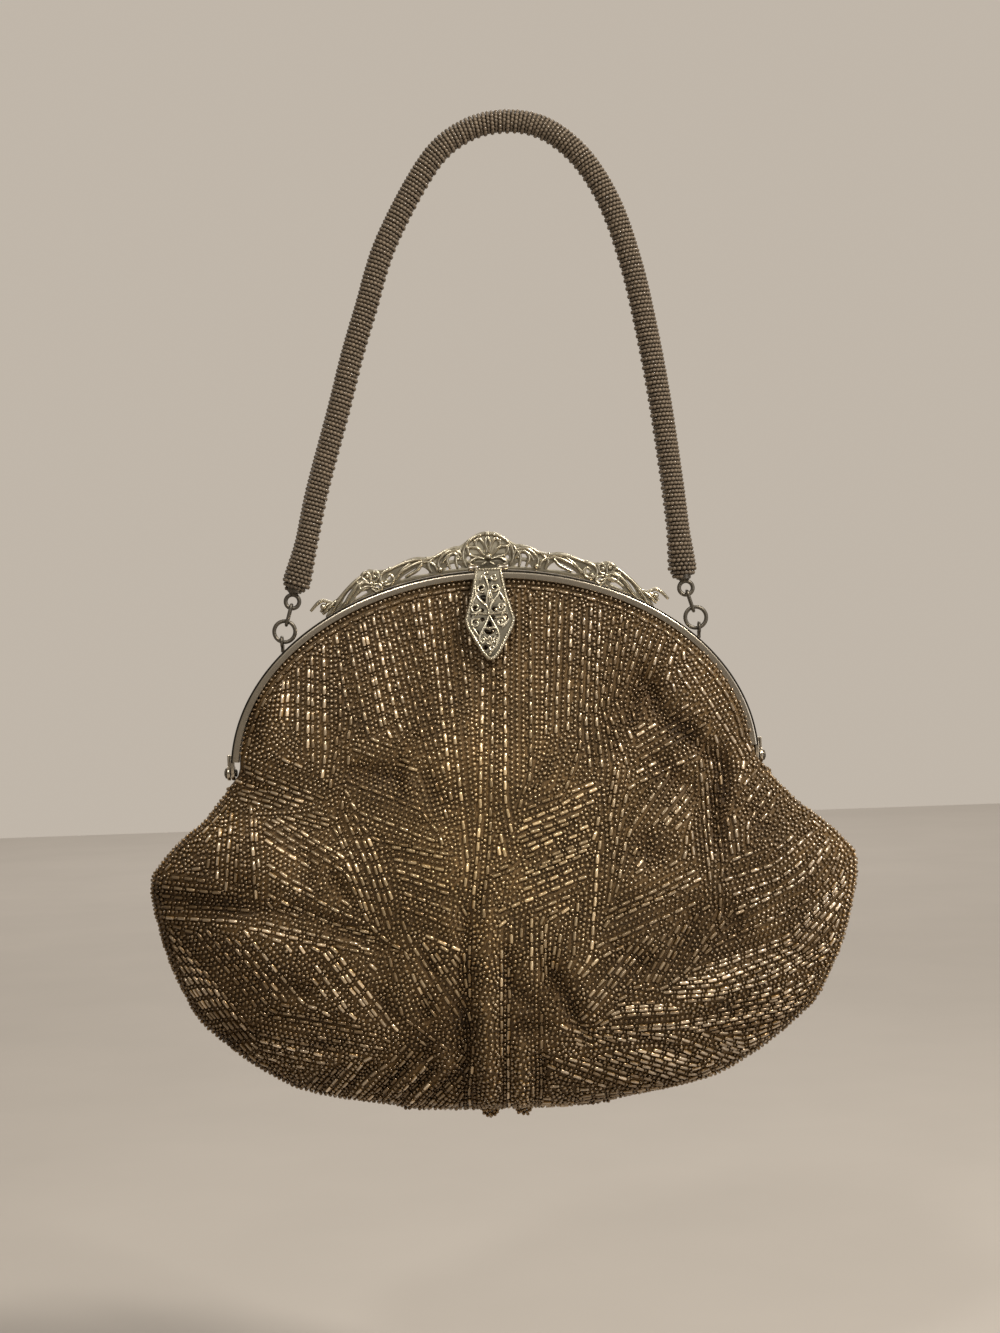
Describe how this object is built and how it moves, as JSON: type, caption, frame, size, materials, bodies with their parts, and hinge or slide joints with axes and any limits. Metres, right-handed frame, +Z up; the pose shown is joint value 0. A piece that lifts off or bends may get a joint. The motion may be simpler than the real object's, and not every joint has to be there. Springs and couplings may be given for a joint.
{
  "type": "beaded frame bag",
  "caption": "Soft pouch in an arched hinged metal frame with a pierced crest and a lift-up clasp, hung by rings and links from a beaded rope handle.",
  "frame": {"origin": "where a hook carries the bag, under the top of the handle", "axes": "+Z up; -Y is the front, where the clasp is; +X is to the right seen from the front"},
  "size_m": [0.213, 0.044, 0.3029],
  "materials": {
    "beaded_satin": "satin closely covered with glass bugle and seed beads",
    "beaded_rope": "seed beads wrapped round a tube",
    "cotton_cord": "matt cord",
    "lining_satin": "satin",
    "nickel_frame": "polished nickel plate, lightly tarnished",
    "cast_ornament": "cast and plated openwork, dark in its recesses",
    "steel_wire": "drawn wire"
  },
  "bodies": {
    "handle": {"handle_sleeve": "beaded_rope", "handle_core": "cotton_cord", "handle_end_left": "steel_wire", "handle_end_right": "steel_wire"},
    "link_left": {"link_left": "steel_wire"},
    "ring_left": {"ring_left": "steel_wire"},
    "bag": {"back_frame": "nickel_frame", "ear_left": "nickel_frame", "ear_right": "nickel_frame", "rivet_left": "steel_wire", "rivet_right": "steel_wire", "crest": "cast_ornament", "pouch_body": "beaded_satin", "back_panel": "beaded_satin", "lining_body": "lining_satin", "lining_back": "lining_satin", "picot_left": "beaded_satin", "picot_right": "beaded_satin"},
    "front_frame": {"front_frame": "nickel_frame", "front_panel": "beaded_satin", "lining_front": "lining_satin", "clasp_pin": "steel_wire"},
    "clasp": {"clasp_lever": "cast_ornament", "clasp_plate": "cast_ornament"},
    "link_right": {"link_right": "steel_wire"},
    "ring_right": {"ring_right": "steel_wire"}
  },
  "joints": [
    {"name": "link_left_swing", "type": "hinge", "parent": "handle", "child": "link_left", "pos_m": [-0.06995, 0, -0.14033], "axis": [1, 0, 0], "range_deg": [-20, 20]},
    {"name": "ring_left_swing", "type": "hinge", "parent": "link_left", "child": "ring_left", "pos_m": [-0.07111, 0, -0.14426], "axis": [1, 0, 0], "range_deg": [-20, 20]},
    {"name": "bag_swing", "type": "hinge", "parent": "ring_left", "child": "bag", "pos_m": [-0.0729, 0, -0.1503], "axis": [1, 0, 0], "range_deg": [-50, 50]},
    {"name": "frame_open", "type": "hinge", "parent": "bag", "child": "front_frame", "pos_m": [-0.0103, 0, -0.18919], "axis": [1, 0, 0], "range_deg": [0, 60], "deforming": ["front_panel", "lining_front"]},
    {"name": "clasp_lift", "type": "hinge", "parent": "front_frame", "child": "clasp", "pos_m": [-0.0103, -0.0009, -0.13029], "axis": [-1, 0, 0], "range_deg": [0, 90]},
    {"name": "link_right_swing", "type": "hinge", "parent": "handle", "child": "link_right", "pos_m": [0.04935, 0, -0.14033], "axis": [1, 0, 0], "range_deg": [-20, 20]},
    {"name": "ring_right_swing", "type": "hinge", "parent": "link_right", "child": "ring_right", "pos_m": [0.05051, 0, -0.14426], "axis": [1, 0, 0], "range_deg": [-20, 20]}
  ],
  "couplings": [
    {"joint": "link_right_swing", "follows": "link_left_swing", "ratio": 1},
    {"joint": "ring_right_swing", "follows": "ring_left_swing", "ratio": 1}
  ]
}
